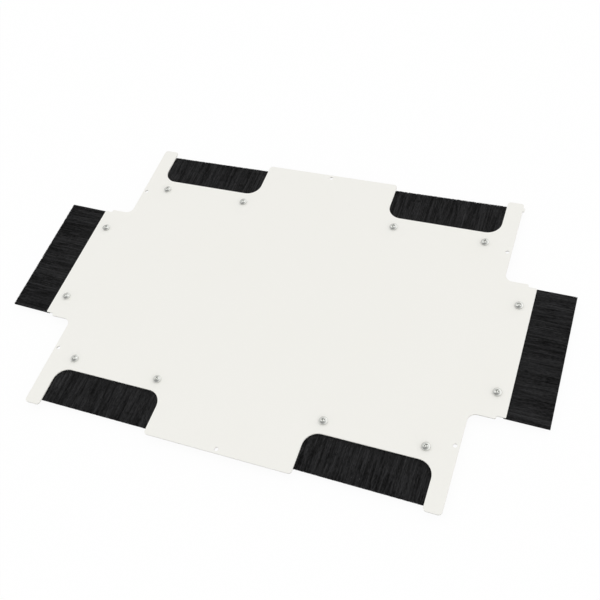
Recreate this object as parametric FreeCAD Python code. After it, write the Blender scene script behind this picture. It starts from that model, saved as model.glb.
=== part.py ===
import FreeCAD, Part
import math
import os

# Cover plate for the cable opening of an equipment rack, with six strip brushes along its edges.
# Millimetres. X runs across the plate towards the right tab, Y to the back, Z up.
# The origin is the centre of the plate on its underside, the face that lies on the rack.

# Cover plate, one flat sheet
sheet = 1.5
body_width = 502.0
body_depth = 410.0
tab_reach = 38.0
tab_width = 176.0
tab_end_length = 10.0
tab_end_step = 3.6
tab_root_radius = 9.0
tab_corner_radius = 1.0
step_radius = 1.5
step_share = 0.45
corner_radius = 4.0
prong_width = 19.7
cutout_width = 142.0
cutout_depth = 52.5
cutout_radius = 17.5

# Tag left on the back right prong where the sheet was held in its blank
tag_reach = 2.0
tag_length = 5.0
tag_setback = 6.5
tag_radius = 1.0

# Fixing holes for the rack's own screws
fixing_hole = 4.5
fixing_edge = 5.0
fixing_pitch_y = 257.0

# Strip brush: filaments folded over a wire and crimped in a folded channel
brush_length = 168.6
short_reach = 45.0
long_reach = 52.8
mouth_inset = 4.0
end_spread = 2.5
channel_depth = 4.0
channel_height = 3.0
channel_wall = 0.5
wire_diameter = 1.0
pack_gap = 0.05
tuft_pitch = 4.0
tuft_variation = 0.25
groove_depth = 0.35
groove_width = 1.8
groove_share = 0.8
slit_width = 0.4
slit_depth = 14.0
slit_variation = 0.25
tip_unevenness = 0.5

# Waves that make the tufts' widths, tips and slits uneven, in radians from one tuft to the next
width_wave = 2.4
tip_wave = 1.7
slit_wave = 2.9

# Clamp bar, joggled so that its foot presses the channel against the plate
bar_sheet = 1.5
bar_length = 150.0
joggle_angle = 75.0
joggle_gap = 0.3
bend_radius = 0.6
foot_setback = 0.5
flange_margin = 7.0
bar_corner = 2.0

# Pan-head screws and hex nuts, two for each strip
screw_diameter = 5.0
screw_length = 10.0
screw_pitch = 114.0
screw_tip_chamfer = 0.6
hole_clearance = 0.5
head_diameter = 10.0
head_height = 3.6
head_side = 1.3
recess_span = 5.4
recess_wing = 1.4
recess_depth = 2.2
recess_taper = 0.5
nut_flats = 8.0
nut_height = 4.0
nut_chamfer_angle = 30.0
nut_gap = 0.3
thread_gap = 0.05

# Levels, up from the plate's underside
plate_top = sheet
channel_mid = -channel_height / 2
foot_top = -channel_height

# The end tufts spread past the channel, to the full length by the plate's edge
channel_length = brush_length - 2 * end_spread

# Places across a strip, measured outwards from the plate's edge
channel_back = -mouth_inset - channel_depth
pack_half = channel_height / 2 - channel_wall - pack_gap
wire_place = channel_back + channel_height / 2
joggle_run = channel_height / math.tan(math.radians(joggle_angle))
joggle_tangent = math.tan(math.radians(joggle_angle) / 2)
web_low = channel_back - joggle_gap
web_high = web_low - joggle_run
nut_edge = web_high - (bar_sheet + bend_radius) * joggle_tangent - nut_gap
screw_line = nut_edge - nut_flats / 2
flange_back = screw_line - flange_margin

# Distance within which two places count as one
same_place = 1e-6

# Each strip: the middle of the plate's edge that it stands out from, its direction and its bristles' reach
side_edge = body_width / 2 + tab_reach
long_edge = body_depth / 2 - cutout_depth
cutout_pitch = body_width - 2 * prong_width - cutout_width
STRIPS = {
    "back_left": ((-cutout_pitch / 2, long_edge), 90, short_reach),
    "back_right": ((cutout_pitch / 2, long_edge), 90, short_reach),
    "front_left": ((-cutout_pitch / 2, -long_edge), 270, short_reach),
    "front_right": ((cutout_pitch / 2, -long_edge), 270, short_reach),
    "left": ((-side_edge, 0), 180, long_reach),
    "right": ((side_edge, 0), 0, short_reach),
}
SCREW_SIDES = (-1, 1)


def rounded_face(corners, z=0.0):
    """A flat face from corners given as (x, y, radius), each rounded by a tangent arc."""
    edges = []
    ends = []
    count = len(corners)
    for i in range(count):
        x, y, radius = corners[i]
        here = FreeCAD.Vector(x, y, z)
        before = FreeCAD.Vector(corners[i - 1][0], corners[i - 1][1], z) - here
        after = FreeCAD.Vector(corners[(i + 1) % count][0], corners[(i + 1) % count][1], z) - here
        before.normalize()
        after.normalize()
        half = before.getAngle(after) / 2
        start = here + before * (radius / math.tan(half))
        end = here + after * (radius / math.tan(half))
        bisector = before + after
        bisector.normalize()
        middle = here + bisector * (radius / math.sin(half) - radius)
        if radius > 0:
            edges.append(Part.Arc(start, middle, end).toShape())
        ends.append((start, end))
    for i in range(count):
        edges.append(Part.LineSegment(ends[i - 1][1], ends[i][0]).toShape())
    return Part.Face(Part.Wire(Part.__sortEdges__(edges)))


def polygon_face(points):
    """A flat face with straight sides."""
    vectors = [FreeCAD.Vector(*p) for p in points]
    return Part.Face(Part.makePolygon(vectors + [vectors[0]]))


def along(u, v, z=0.0):
    """A point of a strip: u outwards from the plate's edge, v along it."""
    return FreeCAD.Vector(u, v, z)


def placed(shape, strip):
    """A copy of a shape, moved from the strip's own axes to its place on the plate."""
    (x, y), turn, _ = STRIPS[strip]
    copy = shape.copy()
    copy.Placement = FreeCAD.Placement(
        FreeCAD.Vector(x, y, 0), FreeCAD.Rotation(FreeCAD.Vector(0, 0, 1), turn)
    )
    return copy


def screw_places():
    """Each screw's strip and its place along that strip."""
    return [(strip, side * screw_pitch / 2) for strip in STRIPS for side in SCREW_SIDES]


def drill(diameter, length):
    """A cylinder through a sheet that lies between z = -length and z = length."""
    return Part.makeCylinder(diameter / 2, 2 * length, FreeCAD.Vector(0, 0, -length))


def tag_corners():
    """The tag's corners on the outer edge of the back right prong, from front to back."""
    root = body_width / 2
    end = root + tag_reach
    back = body_depth / 2 - tag_setback
    front = back - tag_length
    return [(root, front, 0), (end, front, tag_radius), (end, back, tag_radius), (root, back, 0)]


def plate_quadrant(tag=()):
    """The outline's corners in the quadrant of the right tab and the back right cut-out."""
    half_width = body_width / 2
    half_depth = body_depth / 2
    tab_half = tab_width / 2
    tab_end_half = tab_half - tab_end_step
    step = min(step_radius, step_share * tab_end_step)
    cutout_outer = (cutout_pitch + cutout_width) / 2
    cutout_inner = (cutout_pitch - cutout_width) / 2
    return [
        (side_edge, tab_end_half, tab_corner_radius),
        (side_edge - tab_end_length, tab_end_half, step),
        (side_edge - tab_end_length, tab_half, step),
        (half_width, tab_half, tab_root_radius),
        *tag,
        (half_width, half_depth, corner_radius),
        (cutout_outer, half_depth, corner_radius),
        (cutout_outer, long_edge, cutout_radius),
        (cutout_inner, long_edge, cutout_radius),
        (cutout_inner, half_depth, corner_radius),
    ]


def cover_plate():
    """The sheet with its side tabs, open cut-outs, tag, fixing holes and screw holes."""
    quadrant = plate_quadrant()
    back_right = plate_quadrant(tag_corners())
    back_left = [(-x, y, r) for x, y, r in reversed(quadrant)]
    front_left = [(-x, -y, r) for x, y, r in quadrant]
    front_right = [(x, -y, r) for x, y, r in reversed(quadrant)]
    outline = rounded_face(back_right + back_left + front_left + front_right)
    plate = outline.extrude(FreeCAD.Vector(0, 0, sheet))

    side_x = body_width / 2 - fixing_edge
    middle_y = body_depth / 2 - fixing_edge
    places = [(sx * side_x, sy * fixing_pitch_y / 2) for sx in (-1, 1) for sy in (-1, 1)]
    places += [(0, middle_y), (0, -middle_y)]
    holes = []
    for x, y in places:
        hole = drill(fixing_hole, 2 * sheet)
        hole.translate(FreeCAD.Vector(x, y, 0))
        holes.append(hole)
    for strip, v in screw_places():
        hole = drill(screw_diameter + hole_clearance, 2 * sheet)
        hole.translate(along(screw_line, v))
        holes.append(placed(Part.makeCompound([hole]), strip))
    return plate.cut(holes)


def u_section(half_height, end):
    """A strip's section: straight from end back to the wire's place, then half round, closed at the end."""
    top = along(wire_place, 0, channel_mid + half_height)
    low = along(wire_place, 0, channel_mid - half_height)
    back = along(wire_place - half_height, 0, channel_mid)
    far_top = along(end, 0, channel_mid + half_height)
    far_low = along(end, 0, channel_mid - half_height)
    edges = [
        Part.LineSegment(far_top, top).toShape(),
        Part.Arc(top, back, low).toShape(),
        Part.LineSegment(low, far_low).toShape(),
        Part.LineSegment(far_low, far_top).toShape(),
    ]
    return Part.Face(Part.Wire(edges))


def strip_prism(face, length):
    """A strip's section, drawn out to a length that is centred on the strip."""
    prism = face.extrude(FreeCAD.Vector(0, length, 0))
    prism.translate(FreeCAD.Vector(0, -length / 2, 0))
    return prism


def wire_rod(diameter, length):
    """A round rod along the strip, at the wire's place."""
    start = along(wire_place, -length / 2, channel_mid)
    return Part.makeCylinder(diameter / 2, length, start, FreeCAD.Vector(0, 1, 0))


def brush_channel():
    """The folded channel, round at its back and open at its mouth."""
    outside = strip_prism(u_section(channel_height / 2, -mouth_inset), channel_length)
    inside = strip_prism(u_section(channel_height / 2 - channel_wall, 0.0), 2 * channel_length)
    return outside.cut(inside)


def core_wire():
    """The wire that the filaments are folded over."""
    return wire_rod(wire_diameter, channel_length)


def tuft_edges():
    """Where one tuft ends and the next begins, along the strip. Tufts differ in width."""
    count = max(2, round(brush_length / tuft_pitch))
    widths = [1 + tuft_variation * math.sin(width_wave * i) for i in range(count)]
    share = brush_length / sum(widths)
    edges = [-brush_length / 2]
    for width in widths:
        edges.append(edges[-1] + share * width)
    return edges


def tuft_ridges(edges):
    """The free bristles' section across the strip: a ridge for each tuft, on both faces."""
    narrowest = min(b - a for a, b in zip(edges, edges[1:]))
    slope = min(groove_width, groove_share * narrowest) / 2
    crest = pack_half
    groove = pack_half - groove_depth
    upper = []
    for a, b in zip(edges, edges[1:]):
        upper += [(a, groove), (a + slope, crest), (b - slope, crest)]
    upper.append((edges[-1], groove))
    lower = [(v, -h) for v, h in reversed(upper)]
    return polygon_face([(-mouth_inset, v, channel_mid + h) for v, h in upper + lower])


def tuft_outline(edges, reach):
    """The free bristles from above: tufts of uneven length, parted by slits and spread at both ends."""
    points = [(-mouth_inset, edges[0] + end_spread), (0, edges[0])]
    last = len(edges) - 2
    for i, (a, b) in enumerate(zip(edges, edges[1:])):
        tip = reach - tip_unevenness * (1 + math.sin(tip_wave * i)) / 2
        split = reach - slit_depth * (1 - slit_variation * (1 - math.sin(slit_wave * i)))
        points.append((tip, a if i == 0 else a + slit_width / 2))
        points.append((tip, b if i == last else b - slit_width / 2))
        if i < last:
            points.append((split, b))
    points += [(0, edges[-1]), (-mouth_inset, edges[-1] - end_spread)]
    return polygon_face([(u, v, channel_mid - channel_height) for u, v in points])


def bristle_pack(reach):
    """Filaments folded round the wire, pinched flat in the channel and spread in tufts beyond it."""
    grip = strip_prism(u_section(pack_half, -mouth_inset), channel_length)
    grip = grip.cut(wire_rod(wire_diameter + 2 * pack_gap, 2 * channel_length))
    edges = tuft_edges()
    ridges = tuft_ridges(edges).extrude(FreeCAD.Vector(mouth_inset + reach, 0, 0))
    spread = tuft_outline(edges, reach).extrude(FreeCAD.Vector(0, 0, 2 * channel_height))
    return grip.fuse(ridges.common(spread))


def clamp_bar():
    """The joggled bar: a flange under the plate, a steep web and a foot under the channel."""
    thickness_shift = bar_sheet * joggle_tangent
    foot_end = -mouth_inset - foot_setback
    section = [
        (flange_back, 0, 0),
        (web_high, 0, 0),
        (web_low, 0, foot_top),
        (foot_end, 0, foot_top),
        (foot_end, 0, foot_top - bar_sheet),
        (web_low - thickness_shift, 0, foot_top - bar_sheet),
        (web_high - thickness_shift, 0, -bar_sheet),
        (flange_back, 0, -bar_sheet),
    ]
    bar = strip_prism(polygon_face(section), bar_length)
    outer_bends = [(web_high, 0), (web_low - thickness_shift, foot_top - bar_sheet)]
    inner_bends = [(web_low, foot_top), (web_high - thickness_shift, -bar_sheet)]
    bar = bar.makeFillet(bend_radius + bar_sheet, long_edges(bar, outer_bends))
    bar = bar.makeFillet(bend_radius, long_edges(bar, inner_bends))
    bar = bar.makeFillet(bar_corner, flange_corners(bar))
    holes = []
    for side in SCREW_SIDES:
        hole = drill(screw_diameter + hole_clearance, 2 * bar_sheet)
        hole.translate(along(screw_line, side * screw_pitch / 2))
        holes.append(hole)
    return bar.cut(holes)


def long_edges(bar, places):
    """The bar's edges that run along the strip through places given as (u, z)."""
    found = []
    for edge in bar.Edges:
        middle = edge.CenterOfMass
        for u, z in places:
            if abs(middle.x - u) < same_place and abs(middle.z - z) < same_place:
                found.append(edge)
    return found


def flange_corners(bar):
    """The two upright edges at the back of the bar's flange."""
    at_back = [edge for edge in bar.Edges if abs(edge.CenterOfMass.x - flange_back) < same_place]
    return [edge for edge in at_back if edge.BoundBox.ZLength > bar_sheet / 2]


def cross(span, wing, z):
    """A cross-shaped wire with arms of one width."""
    far = span / 2
    near = wing / 2
    arm = [(far, -near), (far, near), (near, near)]
    points = []
    for quarter in range(4):
        turn = FreeCAD.Rotation(FreeCAD.Vector(0, 0, 1), 90 * quarter)
        points += [turn.multVec(FreeCAD.Vector(x, y, z)) for x, y in arm]
    return Part.makePolygon(points + [points[0]])


def pan_head_screw():
    """A screw that stands on the plate: domed head with a cross recess, plain shank, chamfered tip."""
    radius = head_diameter / 2
    shank = screw_diameter / 2
    rise = head_height - head_side
    dome = (radius**2 + rise**2) / (2 * rise)
    head_top = plate_top + head_height
    shoulder = plate_top + head_side
    half_way = head_top - dome + math.sqrt(dome**2 - radius**2 / 4)
    tip = plate_top - screw_length
    top_point = FreeCAD.Vector(0, 0, head_top)
    shoulder_point = FreeCAD.Vector(radius, 0, shoulder)
    outline = [
        shoulder_point,
        FreeCAD.Vector(radius, 0, plate_top),
        FreeCAD.Vector(shank, 0, plate_top),
        FreeCAD.Vector(shank, 0, tip + screw_tip_chamfer),
        FreeCAD.Vector(shank - screw_tip_chamfer, 0, tip),
        FreeCAD.Vector(0, 0, tip),
        top_point,
    ]
    edges = [Part.LineSegment(a, b).toShape() for a, b in zip(outline, outline[1:])]
    edges.append(Part.Arc(top_point, FreeCAD.Vector(radius / 2, 0, half_way), shoulder_point).toShape())
    screw = Part.Face(Part.Wire(edges)).revolve(FreeCAD.Vector(0, 0, 0), FreeCAD.Vector(0, 0, 1), 360)
    recess = Part.makeLoft(
        [
            cross(recess_span * recess_taper, recess_wing * recess_taper, head_top - recess_depth),
            cross(recess_span, recess_wing, head_top),
        ],
        True,
        True,
    )
    return screw.cut(recess)


def hex_nut():
    """A hex nut under the clamp bar's flange, with flats beside the web and chamfered corners."""
    top = -bar_sheet
    across = nut_flats / 2
    corner = across / math.cos(math.radians(30))
    chamfer = (corner - across) * math.tan(math.radians(nut_chamfer_angle))
    angles = [math.radians(30 + 60 * i) for i in range(6)]
    hexagon = polygon_face([(corner * math.cos(a), corner * math.sin(a), top - nut_height) for a in angles])
    blank = hexagon.extrude(FreeCAD.Vector(0, 0, nut_height))
    bore = screw_diameter / 2 + thread_gap
    turned = polygon_face(
        [
            (bore, 0, top),
            (across, 0, top),
            (corner, 0, top - chamfer),
            (corner, 0, top - nut_height + chamfer),
            (across, 0, top - nut_height),
            (bore, 0, top - nut_height),
        ]
    ).revolve(FreeCAD.Vector(0, 0, 0), FreeCAD.Vector(0, 0, 1), 360)
    return blank.common(turned)


def at_every_screw(shape):
    """Separate copies of a fastener, one for each screw place."""
    copies = []
    for strip, v in screw_places():
        fastener = shape.copy()
        fastener.translate(along(screw_line, v))
        copies.append(placed(Part.makeCompound([fastener]), strip))
    return Part.makeCompound([solid for copy in copies for solid in copy.Solids])


def write(name, shape):
    """Saves one node."""
    shape.exportStep("parts/" + name + ".step")


os.makedirs("parts", exist_ok=True)
write("cover_plate", cover_plate())
for strip_name, (_, _, bristle_reach) in STRIPS.items():
    write("bristle_pack_" + strip_name, placed(bristle_pack(bristle_reach), strip_name))
    write("brush_channel_" + strip_name, placed(brush_channel(), strip_name))
    write("core_wire_" + strip_name, placed(core_wire(), strip_name))
    write("clamp_bar_" + strip_name, placed(clamp_bar(), strip_name))
write("pan_head_screws", at_every_screw(pan_head_screw()))
write("hex_nuts", at_every_screw(hex_nut()))
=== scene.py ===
import math
import random
from typing import NamedTuple

import bpy
import numpy as np
from mathutils import Matrix, Vector


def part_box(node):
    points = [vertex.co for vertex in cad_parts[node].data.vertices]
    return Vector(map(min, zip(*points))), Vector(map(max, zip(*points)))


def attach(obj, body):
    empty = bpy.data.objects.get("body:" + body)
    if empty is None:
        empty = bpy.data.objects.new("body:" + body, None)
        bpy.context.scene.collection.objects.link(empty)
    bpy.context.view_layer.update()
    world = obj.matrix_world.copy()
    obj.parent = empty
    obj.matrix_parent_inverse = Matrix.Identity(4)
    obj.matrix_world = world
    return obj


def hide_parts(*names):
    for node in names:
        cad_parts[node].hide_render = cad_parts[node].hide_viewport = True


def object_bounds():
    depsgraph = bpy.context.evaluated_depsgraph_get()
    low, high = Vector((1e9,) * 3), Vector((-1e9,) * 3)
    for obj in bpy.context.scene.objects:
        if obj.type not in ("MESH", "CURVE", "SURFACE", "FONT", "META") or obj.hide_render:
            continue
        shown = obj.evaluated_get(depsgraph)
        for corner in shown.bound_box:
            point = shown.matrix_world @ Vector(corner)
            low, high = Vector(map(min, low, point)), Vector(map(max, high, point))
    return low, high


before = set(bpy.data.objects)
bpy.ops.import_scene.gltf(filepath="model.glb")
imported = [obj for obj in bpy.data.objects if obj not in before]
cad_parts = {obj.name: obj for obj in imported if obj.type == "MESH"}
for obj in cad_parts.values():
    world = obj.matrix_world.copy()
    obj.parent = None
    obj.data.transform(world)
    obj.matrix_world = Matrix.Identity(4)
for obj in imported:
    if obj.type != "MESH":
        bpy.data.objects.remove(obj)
CAD_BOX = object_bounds()

bl_info = {
    "name": "Brush Cable Entry Plate",
    "version": (1, 0, 0),
    "blender": (4, 5, 0),
    "location": "3D View > Sidebar > Brush Plate",
    "description": "Dresses a rack cover plate with strip brushes, plated fasteners and a studio",
    "category": "Object",
}

MM = 0.001
UP = Vector((0, 0, 1))
WHITE = (1.0, 1.0, 1.0, 1.0)
BODY = "root"
PLATE_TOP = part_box("cover_plate")[1].z
FLOOR = CAD_BOX[0].z

# In a copy of a solid, points this close become one and triangles this nearly level become one face
SOLID_WELD = 0.0005 * MM
SOLID_LEVEL = math.radians(0.3)

# The sheet's faces whose normals point up or down by at least this much are flat
FLAT_NORMAL = 0.999

# The way each strip's bristles point, out from the plate's edge
OUTWARD = {
    "back_left": Vector((0, 1, 0)),
    "back_right": Vector((0, 1, 0)),
    "front_left": Vector((0, -1, 0)),
    "front_right": Vector((0, -1, 0)),
    "left": Vector((-1, 0, 0)),
    "right": Vector((1, 0, 0)),
}


class Trim(NamedTuple):
    """How a strip was combed and trimmed, against its solid."""

    slope: float  # rise of the line of tips along the strip
    longer: float  # extra length at the middle of that line
    lean: float = 0.0  # shift of the tips along the strip
    painted_light: float = 0.0  # painted light, raising the strip's tone to even out the shade that it gets from the light
    past_first: float = 0.0  # spread of the tufts past the strip's first end
    past_last: float = 0.0  # spread of the tufts past its last end


TRIM = {
    "back_left": Trim(slope=-0.0068, longer=-0.3 * MM, painted_light=0.01),
    "back_right": Trim(slope=-0.0093, longer=0.9 * MM),
    "front_left": Trim(slope=0.0026, longer=0.2 * MM, painted_light=0.07),
    "front_right": Trim(slope=0.0068, longer=0.8 * MM, painted_light=0.05),
    "left": Trim(slope=-0.0100, longer=0.5 * MM, lean=-1.6 * MM, past_first=1.0 * MM),
    "right": Trim(slope=-0.0035, longer=0.4 * MM, lean=-0.6 * MM, painted_light=0.14, past_last=0.5 * MM),
}

# One filament: rings of points along it, and the width that is left at its cut tip
RINGS = 6
TIP_WIDTH = 0.75

# Depth of the roots in the channel's mouth, and the run past it in which the end filaments spread
ROOT_DEPTH = 0.4 * MM
SPREAD_RUN = 1.5 * MM

# How strongly filaments crowd into the two outer layers
CROWDING = 1.8

# Clumps keep straight this near a strip's ends. Neighbours sway together, and broader bands share a painted
# shade
CALM_END = 3 * MM
SWAY_CLUMPS = 3
BAND_CLUMPS = 4

# Share of the wave that is a filament's own, and how far a clump rises or sinks at its tips
OWN_WAVE = 0.7
CLUMP_RISE = 0.1 * MM

# Air under the sheet, and how much further filaments may sink than rise
PLATE_GAP = 0.1 * MM
SINKING = 1.3

# Shares in a filament's tone, which is painted shade and sheen from clump to clump: its clump's, the broad
# bands', the patches' along its length and its own
CLUMP_TONE = 0.4
BAND_TONE = 0.3
PATCH_TONE = 0.8
OWN_TONE = 0.5

# The heart of a pack starts past the channel's mouth, and is thinner, shorter and narrower than the solid
HEART_START = 0.1 * MM
HEART_THICKNESS = 0.45
HEART_SHORTER = 0.3 * MM
HEART_NARROWER = 1.2 * MM
# The heart's dark tone is painted shade, for the dark between the outer filaments
HEART_SHADE = 0.15

# Points of the screws' solids that lie this close belong to one screw
SCREW_REACH = 20 * MM

# Screws are modelled in millimetres. Points this close become one, in the recess those of slivers too
WELD_MM = 0.001
SLIVER_MM = 0.03

# The head: sides, rings down its cap, with the rim between two of them, and the rounding of its edges
HEAD_SIDES = 48
CAP_RINGS = 13.5
RIM_ROUND_MM = 0.18
RECESS_ROUND_MM = 0.08

# Extruding leaves faces in any order, so they are sorted by their distance from here
SORT_FROM = (31.7, 73.1, 113.9)

# The recess narrows to this share at its floor, and its tool stands this high above the head
RECESS_TAPER = 0.5
RECESS_MARGIN_MM = 0.6

# The thread: steps in a turn, depth as a share of the pitch, and its section along the pitch
THREAD_STEPS = 24
THREAD_DEPTH = 0.61
ROOT = 0
CREST = 1
THREAD_SECTION = ((ROOT, 0.0), (ROOT, 0.06), (CREST, 0.44), (CREST, 0.56), (ROOT, 0.94), (ROOT, 1.0))

# It is wound from this many turns below the tip, with turns to spare, and then cut and chamfered
THREAD_START = 1.5
SPARE_TURNS = 3
TIP_CHAMFER_MM = 0.6
ROD_IN_HEAD_MM = 0.4

# Seeds of the random draws, for the first strip's filaments and for the turns of the screws
BRISTLE_CHANCE = 40
SCREW_CHANCE = 5

# The stage, in metres, with the sensor in millimetres. The white wall fades out by this many times its top
FLOOR_SIZE = 20.0
WALL_FADE = 1.4
SENSOR_WIDTH = 36.0
CLIP_START = 0.01


def linear(code):
    """An sRGB hex colour as linear red, green and blue."""
    parts = [int(code[i : i + 2], 16) / 255 for i in (1, 3, 5)]
    return tuple(p / 12.92 if p <= 0.04045 else ((p + 0.055) / 1.055) ** 2.4 for p in parts)


# Settings that a user would change


class PlateSettings(bpy.types.PropertyGroup):
    """The coated sheet."""

    coat: bpy.props.FloatVectorProperty(
        name="Coat",
        description="Colour of the powder coat",
        subtype="COLOR",
        size=3,
        default=linear("#F0EFEA"),
    )
    coat_shade: bpy.props.FloatVectorProperty(
        name="Coat shade",
        description="Where the coat lies a little thinner",
        subtype="COLOR",
        size=3,
        default=linear("#EFEEE8"),
    )
    edge_round: bpy.props.FloatProperty(
        name="Edge rounding",
        description="Radius that the coat gives a cut edge",
        unit="LENGTH",
        default=0.2 * MM,
    )
    orange_peel: bpy.props.FloatProperty(
        name="Orange peel",
        description="Width of the coat's fine ripples",
        unit="LENGTH",
        default=1.4 * MM,
    )
    cloud: bpy.props.FloatProperty(
        name="Clouds",
        description="Width of the passes of the spray gun",
        unit="LENGTH",
        default=90 * MM,
    )


class BristleSettings(bpy.types.PropertyGroup):
    """The filaments of a strip brush."""

    filament: bpy.props.FloatProperty(
        name="Filament",
        description="Diameter of one filament",
        unit="LENGTH",
        default=0.25 * MM,
    )
    count: bpy.props.IntProperty(
        name="Count",
        description="Filaments in one strip",
        default=4400,
    )
    clump: bpy.props.FloatProperty(
        name="Clump",
        description="Width of the clumps that filaments gather in",
        unit="LENGTH",
        default=1.6 * MM,
    )
    sway: bpy.props.FloatProperty(
        name="Sway",
        description="How far the tips of a clump lie to one side",
        unit="LENGTH",
        default=0.5 * MM,
    )
    wave: bpy.props.FloatProperty(
        name="Wave",
        description="How far a clump waves on its way out",
        unit="LENGTH",
        default=0.25 * MM,
    )
    splay: bpy.props.FloatProperty(
        name="Splay",
        description="Growth of the pack's thickness from root to tips",
        subtype="FACTOR",
        default=0.15,
    )
    unevenness: bpy.props.FloatProperty(
        name="Unevenness",
        description="Difference in length between tips",
        unit="LENGTH",
        default=0.15 * MM,
    )
    # Painted shade and sheen: the tone that differs from clump to clump stands in for the shade between
    # clumps and their sheen
    streaks: bpy.props.FloatProperty(
        name="Streaks",
        description="Difference in tone from one clump to the next",
        subtype="FACTOR",
        default=0.35,
    )
    # Painted sheen: the bristles' flecks stand in for the sheen of single filaments
    grain_and_sheen: bpy.props.FloatVectorProperty(
        name="Grain",
        description="Length and width of the flecks along the filaments",
        unit="LENGTH",
        size=2,
        default=(4.0 * MM, 1.1 * MM),
    )
    # How strongly the painted sheen's flecks lighten and darken the nylon's tone
    sheen_flecks: bpy.props.FloatProperty(
        name="Flecks",
        description="Difference in tone of the flecks",
        subtype="FACTOR",
        default=0.7,
    )
    dark: bpy.props.FloatVectorProperty(
        name="Dark",
        description="Colour of the darkest filaments",
        subtype="COLOR",
        size=3,
        default=linear("#090909"),
    )
    light: bpy.props.FloatVectorProperty(
        name="Light",
        description="Colour of the lightest filaments",
        subtype="COLOR",
        size=3,
        default=linear("#363637"),
    )


class ScrewSettings(bpy.types.PropertyGroup):
    """The pan-head screws, in the sizes of an M5 screw."""

    thread: bpy.props.FloatProperty(
        name="Thread",
        description="Diameter over the thread",
        unit="LENGTH",
        default=5.0 * MM,
    )
    pitch: bpy.props.FloatProperty(
        name="Pitch",
        description="Pitch of the thread",
        unit="LENGTH",
        default=0.8 * MM,
    )
    head_height: bpy.props.FloatProperty(
        name="Head height",
        description="Height of the head above the plate",
        unit="LENGTH",
        default=3.6 * MM,
    )
    head_side: bpy.props.FloatProperty(
        name="Head side",
        description="Height of the head's upright side",
        unit="LENGTH",
        default=1.3 * MM,
    )
    recess_span: bpy.props.FloatProperty(
        name="Recess span",
        description="Span of the cross recess at the top",
        unit="LENGTH",
        default=5.4 * MM,
    )
    recess_wing: bpy.props.FloatProperty(
        name="Recess wing",
        description="Width of a wing of the recess",
        unit="LENGTH",
        default=1.4 * MM,
    )
    recess_depth: bpy.props.FloatProperty(
        name="Recess depth",
        description="Depth of the cross recess",
        unit="LENGTH",
        default=2.2 * MM,
    )
    plating: bpy.props.FloatVectorProperty(
        name="Plating",
        description="Colour of the bright plating",
        subtype="COLOR",
        size=3,
        default=linear("#D4D5D1"),
    )
    marks: bpy.props.FloatProperty(
        name="Marks",
        description="Width of the faint marks of the heading die",
        unit="LENGTH",
        default=1.1 * MM,
    )


class SteelSettings(bpy.types.PropertyGroup):
    """The metal under the plate."""

    zinc: bpy.props.FloatVectorProperty(
        name="Zinc",
        description="Colour of the zinc plating",
        subtype="COLOR",
        size=3,
        default=linear("#B9BCC0"),
    )
    zinc_dull: bpy.props.FloatVectorProperty(
        name="Dull zinc",
        description="Duller patches of the zinc",
        subtype="COLOR",
        size=3,
        default=linear("#9EA1A5"),
    )
    spangle: bpy.props.FloatProperty(
        name="Spangle",
        description="Width of the crystals of galvanised strip",
        unit="LENGTH",
        default=4.0 * MM,
    )
    edge_round: bpy.props.FloatProperty(
        name="Edge rounding",
        description="Rounding of the clamp bars' edges",
        unit="LENGTH",
        default=0.15 * MM,
    )
    nut_round: bpy.props.FloatProperty(
        name="Nut rounding",
        description="Rounding of the nuts' edges",
        unit="LENGTH",
        default=0.12 * MM,
    )
    channel_round: bpy.props.FloatProperty(
        name="Channel rounding",
        description="Rounding of the channels' edges",
        unit="LENGTH",
        default=0.08 * MM,
    )
    cloud: bpy.props.FloatProperty(
        name="Clouds",
        description="Width of the plating's duller patches",
        unit="LENGTH",
        default=12 * MM,
    )
    grain_and_sheen: bpy.props.FloatProperty(
        name="Grain",
        description="Width of the plating's fine grain",
        unit="LENGTH",
        default=0.4 * MM,
    )


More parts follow.
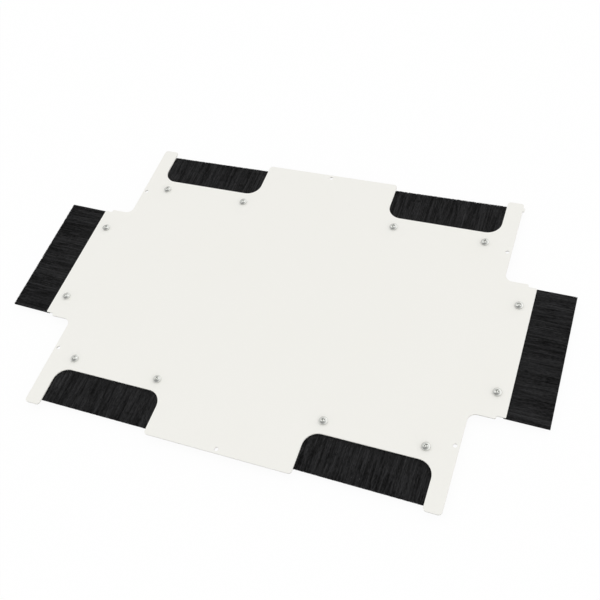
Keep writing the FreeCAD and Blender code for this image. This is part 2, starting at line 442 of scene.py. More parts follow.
class StageSettings(bpy.types.PropertyGroup):
    """Camera, floor and lamps."""

    camera: bpy.props.FloatVectorProperty(
        name="Camera",
        description="Camera's place above the plate's top",
        subtype="TRANSLATION",
        unit="LENGTH",
        size=3,
        default=(0.34457, -0.48001, 0.81286),
    )
    look_at: bpy.props.FloatVectorProperty(
        name="Look at",
        description="Point of the plate's top in the middle of the picture",
        subtype="TRANSLATION",
        unit="LENGTH",
        size=3,
        default=(0.02446, 0.0066, 0.0),
    )
    lens: bpy.props.FloatProperty(
        name="Lens",
        description="Focal length in millimetres",
        default=49.97,
    )
    roll: bpy.props.FloatProperty(
        name="Roll",
        description="Turn of the camera about its own axis",
        subtype="ANGLE",
        default=math.radians(-16.656),
    )
    sky: bpy.props.FloatProperty(
        name="Sky",
        description="Strength of the light from all round",
        default=1.64,
    )
    dim_side: bpy.props.FloatProperty(
        name="Dim side",
        description="Strength of the light from the dim side of the room",
        default=0.42,
    )
    dim_from: bpy.props.FloatVectorProperty(
        name="Dim from",
        description="Direction of the room's dim side",
        subtype="DIRECTION",
        size=3,
        default=(-0.38, -0.14, 0.91),
    )
    dim_heart: bpy.props.FloatProperty(
        name="Dim heart",
        description="Angle about that direction that is dimmest",
        subtype="ANGLE",
        default=math.radians(25),
    )
    dim_reach: bpy.props.FloatProperty(
        name="Dim reach",
        description="Angle from that direction at which the light is full",
        subtype="ANGLE",
        default=math.radians(110),
    )
    wall_top: bpy.props.FloatProperty(
        name="White wall",
        description="Angle above the floor up to which the room is white all round",
        subtype="ANGLE",
        default=math.radians(20),
    )
    lamp: bpy.props.FloatProperty(
        name="Lamps",
        description="Strength of each soft lamp, in watts per square metre",
        default=0.538,
    )
    lamp_width: bpy.props.FloatProperty(
        name="Lamp width",
        description="Angle that a soft lamp fills, seen from the plate",
        subtype="ANGLE",
        default=math.radians(53),
    )
    right_lamp: bpy.props.FloatVectorProperty(
        name="Right lamp",
        description="Direction that the right lamp shines from",
        subtype="DIRECTION",
        size=3,
        default=(0.15, 0.34, 0.93),
    )
    left_lamp: bpy.props.FloatVectorProperty(
        name="Left lamp",
        description="Direction that the left lamp shines from",
        subtype="DIRECTION",
        size=3,
        default=(-0.54, 0.15, 0.83),
    )
    paper: bpy.props.FloatVectorProperty(
        name="Paper",
        description="Colour of the floor to the eye",
        subtype="COLOR",
        size=3,
        default=linear("#FAFAFA"),
    )
    paper_bounce: bpy.props.FloatVectorProperty(
        name="Paper bounce",
        description="Colour of the light that the floor throws back on the plate",
        subtype="COLOR",
        size=3,
        default=linear("#989898"),
    )
    paper_glow: bpy.props.FloatProperty(
        name="Paper glow",
        description="Share of the floor's white that shadows can't dim",
        subtype="FACTOR",
        default=0.95,
    )
    fibre: bpy.props.FloatProperty(
        name="Fibre",
        description="Width of the paper's fibre clouds",
        unit="LENGTH",
        default=4 * MM,
    )


# Small helpers


def settings():
    """The groups of settings, on the scene."""
    return bpy.context.scene.brush_plate


def deselect():
    """Leaves nothing selected, because an operator acts on all that is."""
    bpy.ops.object.select_all(action="DESELECT")


def choose(piece):
    """Makes one object the only selected and active one."""
    deselect()
    piece.select_set(True)
    bpy.context.view_layer.objects.active = piece


def edit(piece):
    """Opens one object in edit mode with everything selected."""
    choose(piece)
    bpy.ops.object.mode_set(mode="EDIT")
    bpy.ops.mesh.select_all(action="SELECT")


def pick(piece, kind, wanted):
    """Opens one object in edit mode with those points or edges selected whose place or middle is wanted."""
    edit(piece)
    bpy.ops.mesh.select_mode(type=kind)
    bpy.ops.mesh.select_all(action="DESELECT")
    done()
    mesh = piece.data
    if kind == "VERT":
        for vertex in mesh.vertices:
            vertex.select = wanted(vertex.co)
    else:
        for edge in mesh.edges:
            first, second = (mesh.vertices[number].co for number in edge.vertices)
            edge.select = wanted((first + second) / 2)
    bpy.ops.object.mode_set(mode="EDIT")


def done():
    """Leaves edit mode."""
    bpy.ops.object.mode_set(mode="OBJECT")


def apply_modifier(piece, kind, **options):
    """Adds a modifier with its options and applies it."""
    modifier = piece.modifiers.new(kind.title(), kind)
    for name, value in options.items():
        setattr(modifier, name, value)
    choose(piece)
    bpy.ops.object.modifier_apply(modifier=modifier.name)


def new_object(name, data):
    """A new object in the scene, at the origin."""
    made = bpy.data.objects.new(name, data)
    bpy.context.scene.collection.objects.link(made)
    return made


def merged_copy(node, name):
    """A new piece from a solid, with its triangles merged into whole faces."""
    piece = new_object(name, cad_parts[node].data.copy())
    piece.data.materials.clear()
    edit(piece)
    bpy.ops.mesh.customdata_custom_splitnormals_clear()
    bpy.ops.mesh.remove_doubles(threshold=SOLID_WELD)
    bpy.ops.mesh.dissolve_limited(angle_limit=SOLID_LEVEL)
    done()
    return piece


def soften(piece, width, angle=35.0, segments=2):
    """Rounds the edges that are sharper than an angle, and shades the rest smooth."""
    sharp = math.radians(angle)
    apply_modifier(piece, "BEVEL", width=width, segments=segments, limit_method="ANGLE", angle_limit=sharp)
    choose(piece)
    bpy.ops.object.shade_smooth_by_angle(angle=sharp)


def settle(piece):
    """Sorts points, edges and faces, so that their order is the same each run."""
    edit(piece)
    cursor = bpy.context.scene.cursor
    cursor.location = SORT_FROM
    bpy.ops.mesh.sort_elements(type="CURSOR_DISTANCE", elements={"VERT", "EDGE", "FACE"})
    cursor.location = (0, 0, 0)
    done()


def join(pieces, name):
    """One object from several."""
    choose(pieces[0])
    for piece in pieces[1:]:
        piece.select_set(True)
    bpy.ops.object.join()
    pieces[0].name = name
    pieces[0].data.name = name
    return pieces[0]


def hand_over(piece, nodes, material):
    """Gives a finished piece its material and its body, and hides the solids that it stands for."""
    piece.data.materials.clear()
    piece.data.materials.append(material)
    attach(piece, BODY)
    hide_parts(*nodes)


def add_node(owner, kind, options=None, inputs=None):
    """Adds a node to a material or world, sets its options, and fills its inputs with values or links."""
    tree = owner.node_tree
    node = tree.nodes.new(kind)
    for name, value in (options or {}).items():
        setattr(node, name, value)
    for key, value in (inputs or {}).items():
        if isinstance(value, bpy.types.NodeSocket):
            tree.links.new(value, node.inputs[key])
        else:
            node.inputs[key].default_value = value
    return node


def new_material(name):
    """A material with no nodes yet."""
    material = bpy.data.materials.new(name)
    material.use_nodes = True
    material.node_tree.nodes.clear()
    return material


def colour(values, shade=1.0):
    """A colour with alpha for a node's socket, made darker by a shade."""
    return (*(shade * value for value in values), 1.0)


# Materials


def powder_coat():
    """Polyester powder coat, sprayed and baked: even off-white, satin, with a faint orange peel."""
    plate = settings().plate
    coat = new_material("powder_coat_off_white")
    place = add_node(coat, "ShaderNodeTexCoord").outputs["Object"]
    cloud = add_node(
        coat, "ShaderNodeTexNoise", None, {"Vector": place, "Scale": 1 / plate.cloud, "Detail": 2.0}
    )
    tone = add_node(
        coat, "ShaderNodeMix", {"data_type": "RGBA"},
        {"Factor": cloud.outputs[0], "A": colour(plate.coat), "B": colour(plate.coat_shade)},
    )
    peel = add_node(
        coat, "ShaderNodeTexNoise", None,
        {"Vector": place, "Scale": 1 / plate.orange_peel, "Detail": 3.0},
    )
    gloss = add_node(
        coat, "ShaderNodeMapRange", None, {"Value": peel.outputs[0], "To Min": 0.42, "To Max": 0.52}
    )
    bump = add_node(
        coat, "ShaderNodeBump", None,
        {"Strength": 0.12, "Distance": 0.02 * MM, "Height": peel.outputs[0]},
    )
    shader = add_node(
        coat, "ShaderNodeBsdfPrincipled", None,
        {
            "Base Color": tone.outputs["Result"], "Roughness": gloss.outputs[0], "IOR": 1.5,
            "Normal": bump.outputs[0],
        },
    )
    add_node(coat, "ShaderNodeOutputMaterial", None, {"Surface": shader.outputs[0]})
    return coat


def black_nylon():
    """Extruded black nylon filament: nearly black, almost matt, with painted shade and sheen from clump to
    clump.
    """
    bristle = settings().bristle
    nylon = new_material("nylon_filament_black")
    tone = add_node(nylon, "ShaderNodeAttribute", {"attribute_name": "tone"})
    strand = add_node(nylon, "ShaderNodeUVMap", {"uv_map": "strand"})
    # The flecks are painted sheen: the sheen of single filaments is too fine to show, so its flecks are
    # drawn some filaments wide
    drawn = add_node(
        nylon, "ShaderNodeMapping", None,
        {"Vector": strand.outputs[0], "Scale": (1 / bristle.grain_and_sheen[0], 1 / bristle.grain_and_sheen[1], 1.0)},
    )
    grain_and_sheen = add_node(
        nylon, "ShaderNodeTexNoise", {"noise_dimensions": "2D"},
        {"Vector": drawn.outputs[0], "Scale": 1.0, "Detail": 1.0},
    )
    painted_sheen = add_node(
        nylon, "ShaderNodeMapRange", None,
        {"Value": grain_and_sheen.outputs[0], "To Min": -bristle.sheen_flecks, "To Max": bristle.sheen_flecks},
    )
    # The clumps' painted shade and sheen, with the flecks' painted sheen added
    shade_and_sheen = add_node(
        nylon, "ShaderNodeMath", {"operation": "ADD"}, {0: tone.outputs["Fac"], 1: painted_sheen.outputs[0]}
    )
    shade = add_node(
        nylon, "ShaderNodeMix", {"data_type": "RGBA"},
        {"Factor": shade_and_sheen.outputs[0], "A": colour(bristle.dark), "B": colour(bristle.light)},
    )
    # Most of the light that a filament mirrors is lost between its neighbours, so the gloss is held low
    shader = add_node(
        nylon, "ShaderNodeBsdfPrincipled", None,
        {"Base Color": shade.outputs["Result"], "Roughness": 0.6, "IOR": 1.53, "Specular IOR Level": 0.08},
    )
    add_node(nylon, "ShaderNodeOutputMaterial", None, {"Surface": shader.outputs[0]})
    return nylon


def bright_plating():
    """Bright nickel plating on a cold-headed screw: mirror-like, with faint traces of the heading die."""
    screw = settings().screw
    nickel = new_material("bright_plated_steel")
    place = add_node(nickel, "ShaderNodeTexCoord").outputs["Object"]
    marks = add_node(
        nickel, "ShaderNodeTexNoise", None, {"Vector": place, "Scale": 1 / screw.marks, "Detail": 4.0}
    )
    gloss = add_node(
        nickel, "ShaderNodeMapRange", None, {"Value": marks.outputs[0], "To Min": 0.08, "To Max": 0.16}
    )
    bump = add_node(
        nickel, "ShaderNodeBump", None,
        {"Strength": 0.15, "Distance": 0.01 * MM, "Height": marks.outputs[0]},
    )
    tone = add_node(
        nickel, "ShaderNodeMix", {"data_type": "RGBA"},
        {"Factor": marks.outputs[0], "A": colour(screw.plating), "B": colour(screw.plating, 0.9)},
    )
    shader = add_node(
        nickel, "ShaderNodeBsdfPrincipled", None,
        {
            "Base Color": tone.outputs["Result"], "Roughness": gloss.outputs[0], "Metallic": 1.0,
            "Normal": bump.outputs[0],
        },
    )
    add_node(nickel, "ShaderNodeOutputMaterial", None, {"Surface": shader.outputs[0]})
    return nickel


def zinc_plating(name):
    """Electroplated zinc on cold-formed steel: satin blue-grey with cloudy, duller patches."""
    steel = settings().steel
    zinc = new_material(name)
    place = add_node(zinc, "ShaderNodeTexCoord").outputs["Object"]
    cloud = add_node(
        zinc, "ShaderNodeTexNoise", None,
        {"Vector": place, "Scale": 1 / steel.cloud, "Detail": 5.0, "Roughness": 0.6},
    )
    tone = add_node(
        zinc, "ShaderNodeMix", {"data_type": "RGBA"},
        {"Factor": cloud.outputs[0], "A": colour(steel.zinc_dull), "B": colour(steel.zinc)},
    )
    gloss = add_node(
        zinc, "ShaderNodeMapRange", None, {"Value": cloud.outputs[0], "To Min": 0.45, "To Max": 0.28}
    )
    grain_and_sheen = add_node(
        zinc, "ShaderNodeTexNoise", None, {"Vector": place, "Scale": 1 / steel.grain_and_sheen, "Detail": 2.0}
    )
    bump = add_node(
        zinc, "ShaderNodeBump", None,
        {"Strength": 0.1, "Distance": 0.01 * MM, "Height": grain_and_sheen.outputs[0]},
    )
    shader = add_node(
        zinc, "ShaderNodeBsdfPrincipled", None,
        {
            "Base Color": tone.outputs["Result"], "Roughness": gloss.outputs[0], "Metallic": 1.0,
            "Normal": bump.outputs[0],
        },
    )
    add_node(zinc, "ShaderNodeOutputMaterial", None, {"Surface": shader.outputs[0]})
    return zinc


def galvanised_strip():
    """Hot-dip galvanised strip, folded to a channel: grey with crystal spangles of differing shade."""
    steel = settings().steel
    strip = new_material("galvanised_strip")
    place = add_node(strip, "ShaderNodeTexCoord").outputs["Object"]
    crystal = add_node(strip, "ShaderNodeTexVoronoi", None, {"Vector": place, "Scale": 1 / steel.spangle})
    shade = add_node(strip, "ShaderNodeSeparateColor", None, {"Color": crystal.outputs["Color"]})
    tone = add_node(
        strip, "ShaderNodeMix", {"data_type": "RGBA"},
        {"Factor": shade.outputs[0], "A": colour(steel.zinc_dull), "B": colour(steel.zinc)},
    )
    gloss = add_node(
        strip, "ShaderNodeMapRange", None, {"Value": shade.outputs[1], "To Min": 0.3, "To Max": 0.5}
    )
    shader = add_node(
        strip, "ShaderNodeBsdfPrincipled", None,
        {"Base Color": tone.outputs["Result"], "Roughness": gloss.outputs[0], "Metallic": 1.0},
    )
    add_node(strip, "ShaderNodeOutputMaterial", None, {"Surface": shader.outputs[0]})
    return strip


def white_paper():
    """Seamless white paper: matt, white to the eye and to mirrors, with the object's soft shadow kept."""
    stage = settings().stage
    paper = new_material("seamless_paper_white")
    place = add_node(paper, "ShaderNodeTexCoord").outputs["Object"]
    fibre = add_node(
        paper, "ShaderNodeTexNoise", None, {"Vector": place, "Scale": 1 / stage.fibre, "Detail": 3.0}
    )
    path = add_node(paper, "ShaderNodeLightPath")
    seen = path.outputs["Is Camera Ray"]
    for other in ("Is Glossy Ray", "Is Transmission Ray"):
        either = add_node(
            paper, "ShaderNodeMath", {"operation": "MAXIMUM"}, {0: seen, 1: path.outputs[other]}
        )
        seen = either.outputs[0]
    face = add_node(
        paper, "ShaderNodeMix", {"data_type": "RGBA"},
        {"Factor": fibre.outputs[0], "A": colour(stage.paper), "B": colour(stage.paper, 0.98)},
    )
    tone = add_node(
        paper, "ShaderNodeMix", {"data_type": "RGBA"},
        {"Factor": seen, "A": colour(stage.paper_bounce), "B": face.outputs["Result"]},
    )
    matt = add_node(paper, "ShaderNodeBsdfDiffuse", None, {"Color": tone.outputs["Result"]})
    white = add_node(paper, "ShaderNodeEmission", None, {"Color": WHITE, "Strength": 1.0})
    share = add_node(paper, "ShaderNodeMath", {"operation": "MULTIPLY"}, {0: seen, 1: stage.paper_glow})
    mix = add_node(
        paper, "ShaderNodeMixShader", None,
        {0: share.outputs[0], 1: matt.outputs[0], 2: white.outputs[0]},
    )
    add_node(paper, "ShaderNodeOutputMaterial", None, {"Surface": mix.outputs[0]})
    return paper


# Places read from the frame


def span(node, direction):
    """How far a solid reaches along an axis, lowest and highest."""
    low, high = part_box(node)
    ends = (low.dot(direction), high.dot(direction))
    return min(ends), max(ends)


def screw_boxes():
    """The lowest and highest corner of each screw, in the order of the solids' points."""
    points = np.array([vertex.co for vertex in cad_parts["pan_head_screws"].data.vertices])
    boxes = []
    while len(points):
        near = np.linalg.norm(points[:, :2] - points[0, :2], axis=1) < SCREW_REACH
        boxes.append((points[near].min(axis=0), points[near].max(axis=0)))
        points = points[~near]
    return boxes


# Pieces


class BRUSHPLATE_OT_cover_plate(bpy.types.Operator):
    """Coat the cover plate: cut edges rounded by the coat, flat faces kept flat"""

    bl_idname = "brush_plate.cover_plate"
    bl_label = "Cover Plate"

    def execute(self, context):
        plate = merged_copy("cover_plate", "cover_plate_coated")
        soften(plate, settings().plate.edge_round, segments=3)
        for face in plate.data.polygons:
            if abs(face.normal.z) > FLAT_NORMAL:
                face.use_smooth = False
        hand_over(plate, ["cover_plate"], powder_coat())
        return {"FINISHED"}


def seed_filament():
    """Points and faces of one filament, one long and one wide: three-sided and thinner at the tip."""
    deselect()
    bpy.ops.mesh.primitive_cylinder_add(vertices=3, radius=0.5, depth=1.0, location=(0, 0, 0.5))
    seed = bpy.context.object
    bpy.ops.object.transform_apply(location=True)
    pick(seed, "EDGE", lambda middle: abs(middle.z - 0.5) < 0.1)
    bpy.ops.mesh.subdivide(number_cuts=RINGS - 2)
    done()
    pick(seed, "VERT", lambda place: place.z > 0.9)
    bpy.ops.transform.resize(value=(TIP_WIDTH, TIP_WIDTH, 1.0), center_override=(0, 0, 1))
    done()
    points = np.array([vertex.co for vertex in seed.data.vertices])
    faces = [list(face.vertices) for face in seed.data.polygons]
    bpy.data.meshes.remove(seed.data)
    return points, faces


def drift(rng, length, step):
    """A function of place along a strip: random values about zero, a step apart and softly joined."""
    values = rng.standard_normal(math.ceil(length / step) + 2)
    values -= values.mean()

    def read(place):
        steps = np.clip(place / step, 0, len(values) - 2)
        low = np.floor(steps).astype(int)
        part = steps - low
        part = part * part * (3 - 2 * part)
        return values[low] * (1 - part) + values[low + 1] * part

    return read


def set_tone(mesh, values):
    """Stores the tone of each point of a mesh, from dark at 0 to light at 1."""
    attribute = mesh.attributes.new("tone", "FLOAT", "POINT")
    attribute.data.foreach_set("value", np.clip(values, 0, 1).astype(np.float32).ravel())


def strand_object(name, placed, faces, tone, strand):
    """Many filaments as one object, with the tone of each point and its place on the strip as a UV map."""
    count, size = placed.shape[:2]
    mesh = bpy.data.meshes.new(name)
    copies = [[i * size + j for j in face] for i in range(count) for face in faces]
    mesh.from_pydata(placed.reshape(-1, 3).tolist(), [], copies)
    set_tone(mesh, tone)
    corners = np.empty(len(mesh.loops), np.int32)
    mesh.loops.foreach_get("vertex_index", corners)
    places = strand.reshape(-1, 2)[corners].astype(np.float32)
    mesh.uv_layers.new(name="strand").data.foreach_set("uv", places.ravel())
    return new_object(name, mesh)


def lay_filaments(strip, chance, points, faces):
    """A strip's filaments as one object, from inside the channel's mouth to the tips."""
    bristle = settings().bristle
    trim = TRIM[strip]
    rng = np.random.default_rng(chance)
    outward = OUTWARD[strip]
    sideways = UP.cross(outward)
    pack = "bristle_pack_" + strip
    channel = "brush_channel_" + strip
    mouth = span(channel, outward)[1]
    held = span(channel, sideways)
    tip = span(pack, outward)[1]
    low, high = span(pack, UP)
    first, last = span(pack, sideways)
    first -= trim.past_first
    last += trim.past_last
    count = bristle.count
    length = last - first
    radius = bristle.filament / 2
    root = mouth - ROOT_DEPTH
    ring = np.round(points[:, 2] * (RINGS - 1)).astype(int)
    spread = (mouth + SPREAD_RUN - root) / (tip - root)
    part = np.concatenate([[0], np.linspace(spread, 1, RINGS - 1)])

    # Places at the root: evenly along the strip, most of them in the two outer layers that can be seen
    along = radius + (length - 2 * radius) * (np.arange(count) + rng.random(count)) / count
    depth = rng.random(count) ** CROWDING / 2
    depth = np.where(rng.random(count) < 0.5, depth, 1 - depth)
    middle_level = (low + high) / 2
    level = (depth - 0.5) * (high - low - 2 * radius)

    # Clumps sway together, wave on their way out and lie a little higher or lower
    calm = np.clip(np.minimum(along, length - along) / CALM_END, 0.0, 1.0)
    sway = drift(rng, length, SWAY_CLUMPS * bristle.clump)(along)
    side = np.outer(calm * bristle.sway * sway + trim.lean, part)
    side[:, 0] = held[0] - first + along * ((held[1] - held[0]) / length - 1)
    rise = np.outer(level, 1 + bristle.splay * part)
    tone = np.zeros((count, RINGS))
    whole = drift(rng, length, bristle.clump)(along)
    broad = drift(rng, length, BAND_CLUMPS * bristle.clump)(along)
    own = rng.standard_normal(count)
    for k in range(RINGS):
        if k > 0:
            side[:, k] += calm * bristle.wave * drift(rng, length, bristle.clump)(along)
            side[:, k] += calm * part[k] * bristle.wave * OWN_WAVE * rng.standard_normal(count)
            rise[:, k] += CLUMP_RISE * part[k] * drift(rng, length, bristle.clump)(along)
        # Each ring's tone is painted shade and sheen: clumps, bands and patches lighter or darker, and the
        # whole strip raised by its painted light
        patch = drift(rng, length, bristle.clump)(along)
        mixed = CLUMP_TONE * whole + BAND_TONE * broad + PATCH_TONE * patch + OWN_TONE * own
        tone[:, k] = 0.5 + trim.painted_light + bristle.streaks * mixed
    ceiling = -middle_level - radius - PLATE_GAP
    rise = np.clip(rise, -SINKING * ceiling, ceiling)
    centre = (first + last) / 2
    end = tip + trim.longer + trim.slope * (first + along - centre) - bristle.unevenness * rng.random(count)

    # Each copy of the seed is turned at random and stretched from root to tip, ring by ring
    turn = rng.random(count) * 2 * math.pi
    cos, sin = np.cos(turn)[:, None], np.sin(turn)[:, None]
    wide = bristle.filament * points[:, 0]
    tall = bristle.filament * points[:, 1]
    u = root + (end - root)[:, None] * part[ring]
    v = first + along[:, None] + side[:, ring] + cos * wide - sin * tall
    z = middle_level + rise[:, ring] + sin * wide + cos * tall
    placed = u[..., None] * np.array(outward) + v[..., None] * np.array(sideways)
    placed = placed + z[..., None] * np.array(UP)
    strand = np.stack([u, np.broadcast_to(first + along[:, None], u.shape)], axis=-1)
    return strand_object("bristles_" + strip, placed, faces, tone[:, ring], strand)


def pack_heart(strip):
    """The pressed root of a bristle pack and its dense heart, toned dark as painted shade between the outer
    filaments.
    """
    trim = TRIM[strip]
    outward = OUTWARD[strip]
    sideways = UP.cross(outward)
    pack = "bristle_pack_" + strip
    mouth = span("brush_channel_" + strip, outward)[1]
    reach = span(pack, outward)[1] - mouth
    first, last = span(pack, sideways)
    low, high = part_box(pack)
    centre = (low + high) / 2
    start = centre + outward * (mouth - centre.dot(outward))
    heart = merged_copy(pack, "bristle_heart_" + strip)
    edit(heart)
    bpy.ops.mesh.bisect(plane_co=start, plane_no=outward)
    done()
    for vertex in heart.data.vertices:
        out = vertex.co.dot(outward) - mouth
        if out > HEART_START:
            aside = (vertex.co - centre).dot(sideways)
            vertex.co += outward * (trim.longer + trim.slope * aside - HEART_SHORTER) * out / reach
            vertex.co += sideways * (trim.lean * out / reach - aside * HEART_NARROWER / (last - first))
            vertex.co.z = centre.z + HEART_THICKNESS * (vertex.co.z - centre.z)
    set_tone(heart.data, np.full(len(heart.data.vertices), HEART_SHADE))
    return heart


class BRUSHPLATE_OT_bristles(bpy.types.Operator):
    """Lay the filaments of the strip brushes, one by one"""

    bl_idname = "brush_plate.bristles"
    bl_label = "Bristles"

    def execute(self, context):
        nylon = black_nylon()
        points, faces = seed_filament()
        for number, strip in enumerate(OUTWARD):
            filaments = lay_filaments(strip, BRISTLE_CHANCE + number, points, faces)
            piece = join([filaments, pack_heart(strip)], "bristles_" + strip)
            edit(piece)
            bpy.ops.mesh.normals_make_consistent(inside=False)
            done()
            hand_over(piece, ["bristle_pack_" + strip], nylon)
        return {"FINISHED"}


def recess_tool(span_mm, wing_mm, depth_mm, top_mm):
    """Two crossed, tapered bars that cut the cross recess."""
    grow = 1 + (1 - RECESS_TAPER) * RECESS_MARGIN_MM / depth_mm
    middle = top_mm + (RECESS_MARGIN_MM - depth_mm) / 2
    bars = []
    for turn in (0.0, math.pi / 2):
        deselect()
        bpy.ops.mesh.primitive_cube_add(size=1.0, location=(0, 0, middle), rotation=(0, 0, turn))
        bar = bpy.context.object
        bar.scale = (grow * span_mm, grow * wing_mm, depth_mm + RECESS_MARGIN_MM)
        bpy.ops.object.transform_apply(location=True, rotation=True, scale=True)
        pick(bar, "VERT", lambda place: place.z < middle)
        bpy.ops.transform.resize(
            value=(RECESS_TAPER / grow, RECESS_TAPER / grow, 1.0), center_override=(0, 0, 0)
        )
        done()
        bars.append(bar)
    return bars


def threaded_rod(top_mm, tip_mm):
    """The screw's thread as one winding surface, cut square at both ends and chamfered at the tip."""
    screw = settings().screw
    pitch = screw.pitch / MM
    crest = screw.thread / MM / 2
    root = crest - THREAD_DEPTH * pitch
    turns = math.ceil((top_mm - tip_mm) / pitch) + SPARE_TURNS
    deselect()
    bpy.ops.mesh.primitive_circle_add(vertices=len(THREAD_SECTION), fill_type="NOTHING")
    rod = bpy.context.object
    for vertex, (place, rise) in zip(rod.data.vertices, THREAD_SECTION):
        vertex.co = (crest if place == CREST else root, 0.0, tip_mm + pitch * (rise - THREAD_START))
    # The circle's closing edge, which runs up the whole pitch at the root, goes
    half_way = tip_mm + pitch * (0.5 - THREAD_START)
    pick(rod, "EDGE", lambda middle: middle.x < crest - WELD_MM and abs(middle.z - half_way) < WELD_MM)
    bpy.ops.mesh.delete(type="EDGE_FACE")
    done()
    apply_modifier(
        rod, "SCREW", axis="Z", angle=2 * math.pi, screw_offset=pitch, iterations=turns,
        steps=THREAD_STEPS, render_steps=THREAD_STEPS,
    )
    edit(rod)
    bpy.ops.mesh.remove_doubles(threshold=WELD_MM)
    done()
    for height, side in ((tip_mm, "clear_inner"), (top_mm, "clear_outer")):
        edit(rod)
        bpy.ops.mesh.bisect(plane_co=(0, 0, height), plane_no=(0, 0, 1), use_fill=True, **{side: True})
        done()
    for vertex in rod.data.vertices:
        reach = math.hypot(vertex.co.x, vertex.co.y)
        limit = crest - TIP_CHAMFER_MM + vertex.co.z - tip_mm
        if reach > limit:
            vertex.co.x *= limit / reach
            vertex.co.y *= limit / reach
    edit(rod)
    bpy.ops.mesh.normals_make_consistent(inside=False)
    done()
    choose(rod)
    bpy.ops.object.shade_smooth_by_angle(angle=math.radians(25))
    return rod


def pan_head(radius_mm):
    """The screw's head: a ball's cap on an upright side, with a cross recess."""
    screw = settings().screw
    foot = PLATE_TOP / MM
    side = screw.head_side / MM
    height = screw.head_height / MM
    rise = height - side
    ball = (radius_mm**2 + rise**2) / (2 * rise)
    rings = round(CAP_RINGS * math.pi / math.acos(1 - rise / ball))
    top = foot + height
    deselect()
    bpy.ops.mesh.primitive_uv_sphere_add(
        segments=HEAD_SIDES, ring_count=rings, radius=ball, location=(0, 0, top - ball)
    )
    head = bpy.context.object
    bpy.ops.object.transform_apply(location=True)
    edit(head)
    bpy.ops.mesh.bisect(plane_co=(0, 0, foot + side), plane_no=(0, 0, 1), clear_inner=True)
    bpy.ops.mesh.extrude_region_move(TRANSFORM_OT_translate={"value": (0, 0, -side)})
    bpy.ops.mesh.edge_face_add()
    bpy.ops.mesh.select_all(action="SELECT")
    bpy.ops.mesh.remove_doubles(threshold=WELD_MM)
    bpy.ops.mesh.normals_make_consistent(inside=False)
    done()
    settle(head)
    soften(head, RIM_ROUND_MM, segments=3)
    for tool in recess_tool(screw.recess_span / MM, screw.recess_wing / MM, screw.recess_depth / MM, top):
        apply_modifier(head, "BOOLEAN", operation="DIFFERENCE", object=tool, solver="EXACT")
        bpy.data.meshes.remove(tool.data)
    edit(head)
    bpy.ops.mesh.remove_doubles(threshold=SLIVER_MM)
    bpy.ops.mesh.dissolve_limited(angle_limit=math.radians(0.5))
    done()
    soften(head, RECESS_ROUND_MM, angle=40.0)
    edit(head)
    bpy.ops.mesh.remove_doubles(threshold=2 * WELD_MM)
    done()
    return head


def model_screw():
    """One pan-head screw at the origin, in millimetres."""
    low, high = screw_boxes()[0]
    head = pan_head((high[0] - low[0]) / 2 / MM)
    rod = threaded_rod(PLATE_TOP / MM + ROD_IN_HEAD_MM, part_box("pan_head_screws")[0].z / MM)
    return join([head, rod], "pan_head_screw")


class BRUSHPLATE_OT_screws(bpy.types.Operator):
    """Model one pan-head screw and set a copy in each place, turned as it was tightened"""

    bl_idname = "brush_plate.screws"
    bl_label = "Screws"

    def execute(self, context):
        model = model_screw()
        chance = random.Random(SCREW_CHANCE)
        copies = []
        for low, high in screw_boxes():
            place = (low + high) / 2
            copy = new_object("pan_head_screw", model.data.copy())
            turn = Matrix.Rotation(chance.uniform(0, math.pi / 2), 4, "Z")
            shift = Matrix.Translation((place[0], place[1], 0))
            copy.data.transform(shift @ Matrix.Scale(MM, 4) @ turn)
            copies.append(copy)
        bpy.data.meshes.remove(model.data)
        piece = join(copies, "pan_head_screws_bright")
        hand_over(piece, ["pan_head_screws"], bright_plating())
        return {"FINISHED"}


class BRUSHPLATE_OT_nuts(bpy.types.Operator):
    """Round and plate the hex nuts"""

    bl_idname = "brush_plate.nuts"
    bl_label = "Nuts"

    def execute(self, context):
        nuts = merged_copy("hex_nuts", "hex_nuts_plated")
        soften(nuts, settings().steel.nut_round, angle=25.0)
        hand_over(nuts, ["hex_nuts"], zinc_plating("zinc_plated_nut"))
        return {"FINISHED"}


class BRUSHPLATE_OT_clamp_bars(bpy.types.Operator):
    """Round and plate the clamp bars"""

    bl_idname = "brush_plate.clamp_bars"
    bl_label = "Clamp Bars"

    def execute(self, context):
        zinc = zinc_plating("zinc_plated_bar")
        for strip in OUTWARD:
            bar = merged_copy("clamp_bar_" + strip, "clamp_bar_plated_" + strip)
            soften(bar, settings().steel.edge_round)
            hand_over(bar, ["clamp_bar_" + strip], zinc)
        return {"FINISHED"}


class BRUSHPLATE_OT_channels(bpy.types.Operator):
    """Round the brush channels' edges, and give the channels and their core wires their metal"""

    bl_idname = "brush_plate.channels"
    bl_label = "Channels and Wires"

    def execute(self, context):
        strip_metal = galvanised_strip()
        wire_metal = zinc_plating("drawn_steel_wire")
        for strip in OUTWARD:
            channel = merged_copy("brush_channel_" + strip, "brush_channel_galvanised_" + strip)
            soften(channel, settings().steel.channel_round)
            hand_over(channel, ["brush_channel_" + strip], strip_metal)
            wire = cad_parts["core_wire_" + strip]
            wire.data.materials.clear()
            wire.data.materials.append(wire_metal)
        return {"FINISHED"}


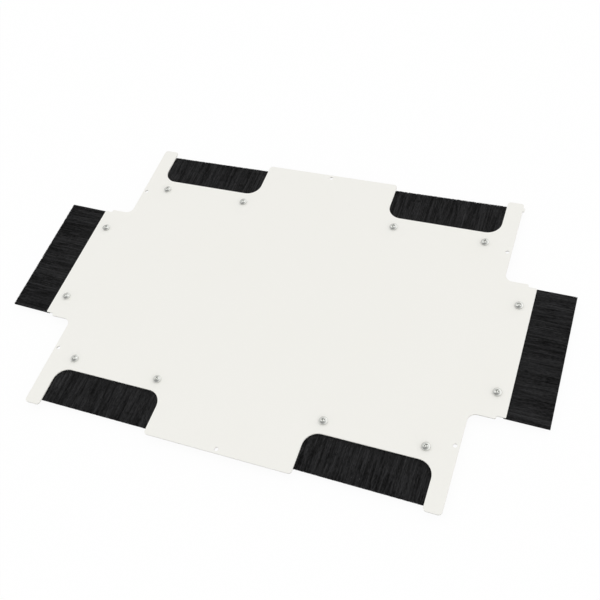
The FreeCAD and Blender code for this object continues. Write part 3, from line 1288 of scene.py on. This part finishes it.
class BRUSHPLATE_OT_stage(bpy.types.Operator):
    """Set the floor, the lamps and the camera"""

    bl_idname = "brush_plate.stage"
    bl_label = "Stage"

    def execute(self, context):
        stage = settings().stage
        scene = context.scene
        scene.view_settings.view_transform = "Standard"

        deselect()
        bpy.ops.mesh.primitive_plane_add(size=FLOOR_SIZE, location=(0, 0, FLOOR))
        floor = context.object
        floor.name = "floor"
        floor.data.materials.append(white_paper())

        # A bright room with one dim side, and a wall that stays white above the floor all round
        world = bpy.data.worlds.new("studio")
        scene.world = world
        world.use_nodes = True
        world.node_tree.nodes.clear()
        way = add_node(world, "ShaderNodeTexCoord").outputs["Generated"]
        dim = Vector(stage.dim_from).normalized()
        facing = add_node(world, "ShaderNodeVectorMath", {"operation": "DOT_PRODUCT"}, {0: way, 1: dim})
        strength = add_node(
            world, "ShaderNodeMapRange", {"interpolation_type": "SMOOTHSTEP"},
            {
                "Value": facing.outputs["Value"],
                "From Min": math.cos(stage.dim_reach), "From Max": math.cos(stage.dim_heart),
                "To Min": stage.sky, "To Max": stage.dim_side,
            },
        )
        height = add_node(world, "ShaderNodeSeparateXYZ", None, {"Vector": way})
        wall = add_node(
            world, "ShaderNodeMapRange", {"interpolation_type": "SMOOTHSTEP"},
            {
                "Value": height.outputs["Z"],
                "From Min": math.sin(stage.wall_top), "From Max": WALL_FADE * math.sin(stage.wall_top),
                "To Min": 1.0, "To Max": 0.0,
            },
        )
        brighter = add_node(
            world, "ShaderNodeMath", {"operation": "MAXIMUM"}, {0: strength.outputs[0], 1: wall.outputs[0]}
        )
        light = add_node(
            world, "ShaderNodeBackground", None, {"Color": WHITE, "Strength": brighter.outputs[0]}
        )
        add_node(world, "ShaderNodeOutputWorld", None, {"Surface": light.outputs[0]})

        for name in ("right_lamp", "left_lamp"):
            shines_from = Vector(getattr(stage, name))
            lamp = bpy.data.lights.new(name, "SUN")
            lamp.energy = stage.lamp
            lamp.angle = stage.lamp_width
            soft = new_object(name, lamp)
            soft.location = shines_from
            soft.rotation_euler = shines_from.to_track_quat("Z", "Y").to_euler()

        lens = bpy.data.cameras.new("camera")
        lens.lens = stage.lens
        lens.sensor_width = SENSOR_WIDTH
        lens.clip_start = CLIP_START
        camera = new_object("camera", lens)
        camera.location = Vector(stage.camera) + PLATE_TOP * UP
        back = (Vector(stage.camera) - Vector(stage.look_at)).normalized()
        level = UP.cross(back).normalized()
        axes = Matrix((level, back.cross(level), back)).transposed()
        camera.rotation_euler = (axes @ Matrix.Rotation(stage.roll, 3, "Z")).to_euler()
        scene.camera = camera
        return {"FINISHED"}


class BrushPlateSettings(bpy.types.PropertyGroup):
    """All groups of settings."""

    plate: bpy.props.PointerProperty(name="Plate", description="The coated sheet", type=PlateSettings)
    bristle: bpy.props.PointerProperty(
        name="Bristle", description="The filaments of a strip brush", type=BristleSettings
    )
    screw: bpy.props.PointerProperty(name="Screw", description="The pan-head screws", type=ScrewSettings)
    steel: bpy.props.PointerProperty(
        name="Steel", description="The metal under the plate", type=SteelSettings
    )
    stage: bpy.props.PointerProperty(
        name="Stage", description="Camera, floor and lamps", type=StageSettings
    )


OPERATORS = (
    BRUSHPLATE_OT_cover_plate,
    BRUSHPLATE_OT_bristles,
    BRUSHPLATE_OT_screws,
    BRUSHPLATE_OT_nuts,
    BRUSHPLATE_OT_clamp_bars,
    BRUSHPLATE_OT_channels,
    BRUSHPLATE_OT_stage,
)


class BRUSHPLATE_PT_panel(bpy.types.Panel):
    """Lists the settings and the pieces in the sidebar"""

    bl_idname = "BRUSHPLATE_PT_panel"
    bl_label = "Brush Plate"
    bl_space_type = "VIEW_3D"
    bl_region_type = "UI"
    bl_category = "Brush Plate"

    def draw(self, context):
        groups = context.scene.brush_plate
        for name in ("plate", "bristle", "screw", "steel", "stage"):
            group = getattr(groups, name)
            box = self.layout.box()
            box.label(text=name.title())
            for key in group.bl_rna.properties.keys():
                if key not in ("rna_type", "name"):
                    box.prop(group, key)
        for operator in OPERATORS:
            self.layout.operator(operator.bl_idname)


CLASSES = (
    PlateSettings,
    BristleSettings,
    ScrewSettings,
    SteelSettings,
    StageSettings,
    BrushPlateSettings,
    *OPERATORS,
    BRUSHPLATE_PT_panel,
)


def register():
    """Adds the classes and the scene's settings."""
    for item in CLASSES:
        bpy.utils.register_class(item)
    bpy.types.Scene.brush_plate = bpy.props.PointerProperty(
        name="Brush plate", description="Settings of the brush cable entry plate", type=BrushPlateSettings
    )


def unregister():
    """Takes them away again."""
    del bpy.types.Scene.brush_plate
    for item in reversed(CLASSES):
        bpy.utils.unregister_class(item)


def main():
    """Makes all pieces in order."""
    register()
    bpy.ops.brush_plate.cover_plate()
    bpy.ops.brush_plate.bristles()
    bpy.ops.brush_plate.screws()
    bpy.ops.brush_plate.nuts()
    bpy.ops.brush_plate.clamp_bars()
    bpy.ops.brush_plate.channels()
    bpy.ops.brush_plate.stage()


if __name__ == "__main__":
    main()
